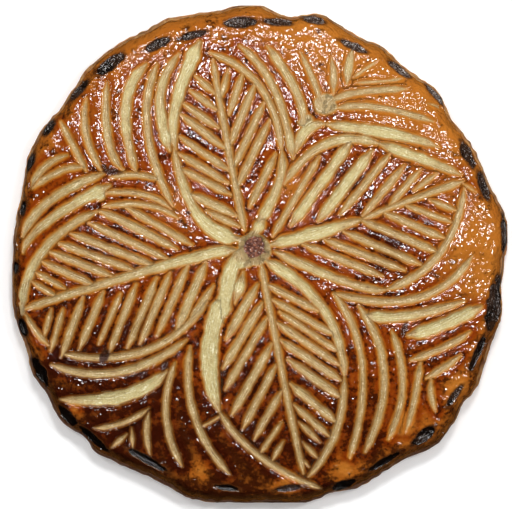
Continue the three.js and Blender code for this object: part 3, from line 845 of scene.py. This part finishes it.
def side_colour(pastry):
    """The leaves of pastry that show round the side, with painted shade in their creases, and darker at the
    rim and at the base.
    """
    coarse, medium, leaves = pastry.coarse, pastry.medium, pastry.leaves
    pale = pastry.rise(leaves - coarse * 0.3, -0.3, 0.8)
    colour = pastry.blend(paint(202, 124, 42), paint(244, 196, 112), pale)
    # painted shade: darker brown in the creases between the leaves
    crease_shade = pastry.rise(pastry.mark("crease") + medium * 0.3, 0.5, 1.3)
    colour = pastry.blend(colour, paint(120, 62, 20), crease_shade * 0.6)
    near_rim = pastry.rise(pastry.level, 9.0, 13.0)
    # browner near the rim and where the tone is dark, which is partly painted shade
    toast_and_shade = pastry.browning_and_shade * 0.6 + coarse * 0.9 + leaves * 0.3 + near_rim * 0.6
    colour = pastry.blend(colour, paint(112, 54, 14), pastry.rise(toast_and_shade, 0.1, 1.3) * 0.85)
    near_base = 1 - pastry.rise(pastry.level + medium * 0.6, 0.3, 2.2)
    return pastry.blend(colour, paint(142, 76, 24), near_base * 0.7)


def crust_colour(pastry):
    """The glaze over the top and the leaves round the side, parted by a dark line along the rim."""
    colour = pastry.blend(glaze_colour(pastry), side_colour(pastry), pastry.on_side)
    at_rim = 1 - pastry.rise(pastry.inset + pastry.medium * 0.8, 0.3, 2.2)
    rim_line = at_rim * pastry.rise(pastry.level, 6.0, 10.0)
    return pastry.blend(colour, paint(66, 32, 12), rim_line * 0.75)


def burn(pastry, colour):
    """Chars the pockets and blisters of a colour, with pale flecks of painted highlight in those near the
    rim.
    """
    medium, browning_and_shade, burnt_edge = pastry.medium, pastry.browning_and_shade, pastry.burnt_edge
    scorch = 1 - pastry.rise(burnt_edge, 0.1, 0.9)
    colour = pastry.blend(colour, paint(88, 48, 20), scorch * 0.8)
    # char blacker where the tone is dark, which is partly painted shade
    blackened_and_shaded = pastry.rise(medium + pastry.coarse + browning_and_shade, -0.7, 0.4)
    char = pastry.blend(paint(58, 38, 26), paint(14, 8, 6), blackened_and_shaded)
    # pale grey flecks painted into the pockets near the rim as highlights on the char
    painted_highlight_flecks = pastry.rise(pastry.fine + medium * 0.6 - browning_and_shade * 0.4, 0.4, 0.9) * 0.8
    inner = pastry.rise(pastry.inset, 13.0, 18.0)
    char = pastry.blend(char, paint(178, 164, 156), painted_highlight_flecks * (1 - inner))
    char = pastry.blend(char, paint(84, 42, 20), inner * 0.7)
    return pastry.blend(colour, char, 1 - pastry.rise(burnt_edge, -0.2, 0.15))


def fill_hole(pastry, colour):
    """Puts the risen filling in the steam hole of a colour, with painted shade between its grains, painted
    highlights on it and an olive ring round it.
    """
    # an olive colour round the hole, fading out over about 3 mm
    olive_ring = (1 - pastry.rise(pastry.hole + pastry.medium * 0.5, 0.3, 3.2)) * 0.6
    colour = pastry.blend(colour, paint(134, 106, 52), olive_ring)
    # painted shade: darker brown in the crevices between the grains of the filling
    shade_between_grains = pastry.rise(pastry.grains + pastry.fine * 0.35, 0.1, 0.7)
    filling = pastry.blend(paint(156, 90, 56), paint(98, 44, 26), shade_between_grains)
    # pale specks painted on the filling as highlights
    painted_glints = pastry.rise(pastry.specks + pastry.fine * 0.3, 0.45, 0.85)
    filling = pastry.blend(filling, paint(220, 186, 170), painted_glints * 0.8)
    return pastry.blend(colour, filling, pastry.in_hole)


def skin_height(pastry):
    """Bumps of the glazed skin: ripples and waves, and streaks along the edges of the scores."""
    ripples = pastry.noise(pastry.place(1.7), 0.0)
    waves = pastry.noise(pastry.place(3.2), 0.0)
    by_score = 1 - pastry.rise(pastry.edge, 1.2, 2.6)
    streaks = pastry.noise(pastry.place_in_score(4.5, 1.2, 5.0), 0.0) * by_score
    lumpy_skin = ripples * (pastry.open_crust * 0.13 + 0.07) + waves * (pastry.open_crust * 0.2 + 0.12)
    return lumpy_skin * (pastry.coarse * 0.7 + 1) + streaks * 0.33


def crumb_height(pastry):
    """Bumps of the bare dough: fibres in the scores, grains in the hole, and crumbs elsewhere."""
    in_pocket = 1 - pastry.rise(pastry.burnt_edge, -0.3, 0.3)
    height = (pastry.fine * 0.16 + pastry.fibres * 0.28) * pastry.in_score
    height = height - pastry.grains * 0.5 * pastry.in_hole
    height = height + (pastry.medium * 0.25 + pastry.fine * 0.2) * in_pocket
    return height + pastry.leaves * 0.25 * pastry.on_side


def baked_pastry():
    """Cream floors of scores between dark glazed ridges, burnt pockets round the rim, and a flaky side."""
    pastry = Pastry()
    colour = pastry.blend(crust_colour(pastry), floor_colour(pastry), pastry.in_score)
    pastry.feed("Base Color", fill_hole(pastry, burn(pastry, colour)))

    glazed = pastry.rise(pastry.ragged_edge, -0.2, 0.4) * (1 - pastry.on_side)
    pastry.feed("Roughness", 0.62 - glazed * 0.54)
    normal = pastry.node("ShaderNodeBump", {}, {
        "Strength": 1.0,
        "Distance": MM,
        "Height": skin_height(pastry) * glazed + crumb_height(pastry),
    }, "Normal")
    pastry.feed("Normal", normal)
    return pastry.material


# ---- the cake, the floor, the lights and the camera ----
galette = make_cake()
galette.data.materials.append(baked_pastry())
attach(galette, "root")
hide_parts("galette")

FLOOR_SIZE = 6.0
FLOOR_GAP = 0.05 * MM  # keeps the floor's surface apart from the cake's base
FLOOR_GLOW = 0.12  # light that the floor gives off, so that the background stays white
bpy.ops.object.select_all(action="DESELECT")
bpy.ops.mesh.primitive_plane_add(size=FLOOR_SIZE, location=(0, 0, -FLOOR_GAP))
floor = bpy.context.object
floor.name = "floor"
floor_finish = Finish(
    "pale floor",
    Base_Color=paint(246, 246, 246),
    Roughness=0.9,
    Emission_Color=(1, 1, 1, 1),
    Emission_Strength=FLOOR_GLOW,
)
floor.data.materials.append(floor_finish.material)
floor.visible_glossy = False


def lamp(name, direction, elevation, distance, size, power, shine=True):
    """A square lamp aimed at the middle of the cake, from a direction in degrees counted from +X.

    `shine` says whether the glaze mirrors it.
    """
    light = bpy.data.lights.new(name, "AREA")
    light.size = size
    light.energy = power
    piece = bpy.data.objects.new(name, light)
    bpy.context.scene.collection.objects.link(piece)
    piece.visible_glossy = shine
    turn, rise = math.radians(direction), math.radians(elevation)
    way = Vector((math.cos(turn) * math.cos(rise), math.sin(turn) * math.cos(rise), math.sin(rise)))
    piece.location = way * distance
    piece.rotation_euler = (-way).to_track_quat("-Z", "Y").to_euler()


lamp("sky", 90, 84, 1.8, 1.4, 6.5, shine=False)
lamp("high window", 82, 60, 1.6, 0.27, 11)
lamp("right window", 25, 59, 1.6, 0.25, 7)
lamp("left window", 140, 60, 1.6, 0.24, 5)
lamp("near window", 290, 60, 1.6, 0.2, 2, shine=False)
lamp("fill", 225, 45, 2.0, 1.4, 2.5, shine=False)

world = bpy.data.worlds.new("studio")
world.use_nodes = True
background = world.node_tree.nodes["Background"]
background.inputs["Color"].default_value = (1, 1, 1, 1)
background.inputs["Strength"].default_value = 0.12
world.cycles_visibility.glossy = False
bpy.context.scene.world = world
bpy.context.scene.view_settings.view_transform = "Standard"

VIEW_WIDTH = 266.2 * MM  # what the picture's width takes in, at the height of the rim
VIEW_MIDDLE = Vector((-2.1, 0.1, 14)) * MM
VIEW_DISTANCE = 2.5

SENSOR_WIDTH = 36  # in the camera's own millimetres

camera_data = bpy.data.cameras.new("camera")
camera_data.sensor_width = SENSOR_WIDTH
camera_data.lens = SENSOR_WIDTH * VIEW_DISTANCE / VIEW_WIDTH
camera_data.clip_end = 20
camera = bpy.data.objects.new("camera", camera_data)
camera.location = VIEW_MIDDLE + Vector((0, 0, VIEW_DISTANCE))
bpy.context.scene.collection.objects.link(camera)
bpy.context.scene.camera = camera
